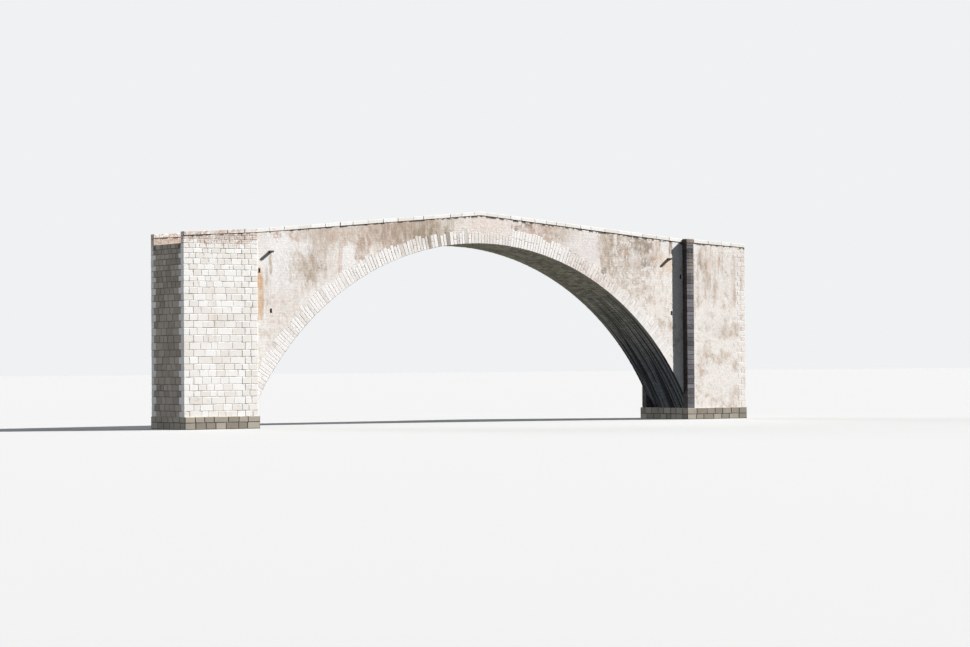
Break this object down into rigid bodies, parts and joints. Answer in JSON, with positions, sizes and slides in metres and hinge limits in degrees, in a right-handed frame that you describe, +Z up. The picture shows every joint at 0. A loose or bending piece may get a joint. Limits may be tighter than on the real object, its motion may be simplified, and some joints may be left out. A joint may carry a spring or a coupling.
{
  "type": "stone arch bridge, 1:2 scale model",
  "caption": "Humpbacked stone arch bridge as a half-size scale model: a wide segmental arch between tall abutments, with wing walls, parapets, coping and a sloping roadway.",
  "frame": {"origin": "middle of the bridge in plan, level with the feet of the two plinths", "axes": "+X along the roadway to the right end, -Y out of the front face, and the narrow piers that stand out furthest are at the right end, +Z up"},
  "size_m": [29.001, 3.57, 9.235],
  "materials": {
    "plinth_stone": "rough weathered",
    "vault_stone": "rough, streaked by damp",
    "ring_stone": "rough dressed, sun-bleached",
    "abutment_stone": "rough coursed",
    "fill_rubble": "rough rubble",
    "spandrel_stone": "rough coursed, stained in streaks",
    "pier_stone": "rough dressed, weathered",
    "wing_stone": "dressed blocks, sun-bleached",
    "road_stone": "worn cobbles",
    "parapet_stone": "rough coursed",
    "coping_stone": "dressed, worn",
    "cap_stone": "dressed, weathered",
    "spout_stone": "dressed, weathered"
  },
  "bodies": {
    "root": {"plinth_left": "plinth_stone", "plinth_right": "plinth_stone", "abutment_left": "abutment_stone", "abutment_right": "abutment_stone", "haunch_fill_left": "fill_rubble", "haunch_fill_right": "fill_rubble", "roadway_left": "road_stone", "roadway_right": "road_stone", "face_ring_front": "ring_stone", "face_ring_rear": "ring_stone", "crown_coping_front": "coping_stone", "crown_coping_rear": "coping_stone", "vault": "vault_stone", "spandrel_front_left": "spandrel_stone", "spandrel_front_right": "spandrel_stone", "spandrel_rear_left": "spandrel_stone", "spandrel_rear_right": "spandrel_stone", "pier_front_left": "pier_stone", "pier_front_right": "pier_stone", "pier_rear_left": "pier_stone", "pier_rear_right": "pier_stone", "wing_wall_front_left": "wing_stone", "wing_wall_front_right": "wing_stone", "wing_wall_rear_left": "wing_stone", "wing_wall_rear_right": "wing_stone", "parapet_front_left": "parapet_stone", "parapet_front_right": "parapet_stone", "parapet_rear_left": "parapet_stone", "parapet_rear_right": "parapet_stone", "coping_front_left": "coping_stone", "coping_front_right": "coping_stone", "coping_rear_left": "coping_stone", "coping_rear_right": "coping_stone", "wing_coping_front_left": "coping_stone", "wing_coping_front_right": "coping_stone", "wing_coping_rear_left": "coping_stone", "wing_coping_rear_right": "coping_stone", "pier_cap_front_left": "cap_stone", "pier_cap_front_right": "cap_stone", "pier_cap_rear_left": "cap_stone", "pier_cap_rear_right": "cap_stone", "spout_front_left": "spout_stone", "spout_front_right": "spout_stone", "spout_rear_left": "spout_stone", "spout_rear_right": "spout_stone"}
  },
  "joints": []
}
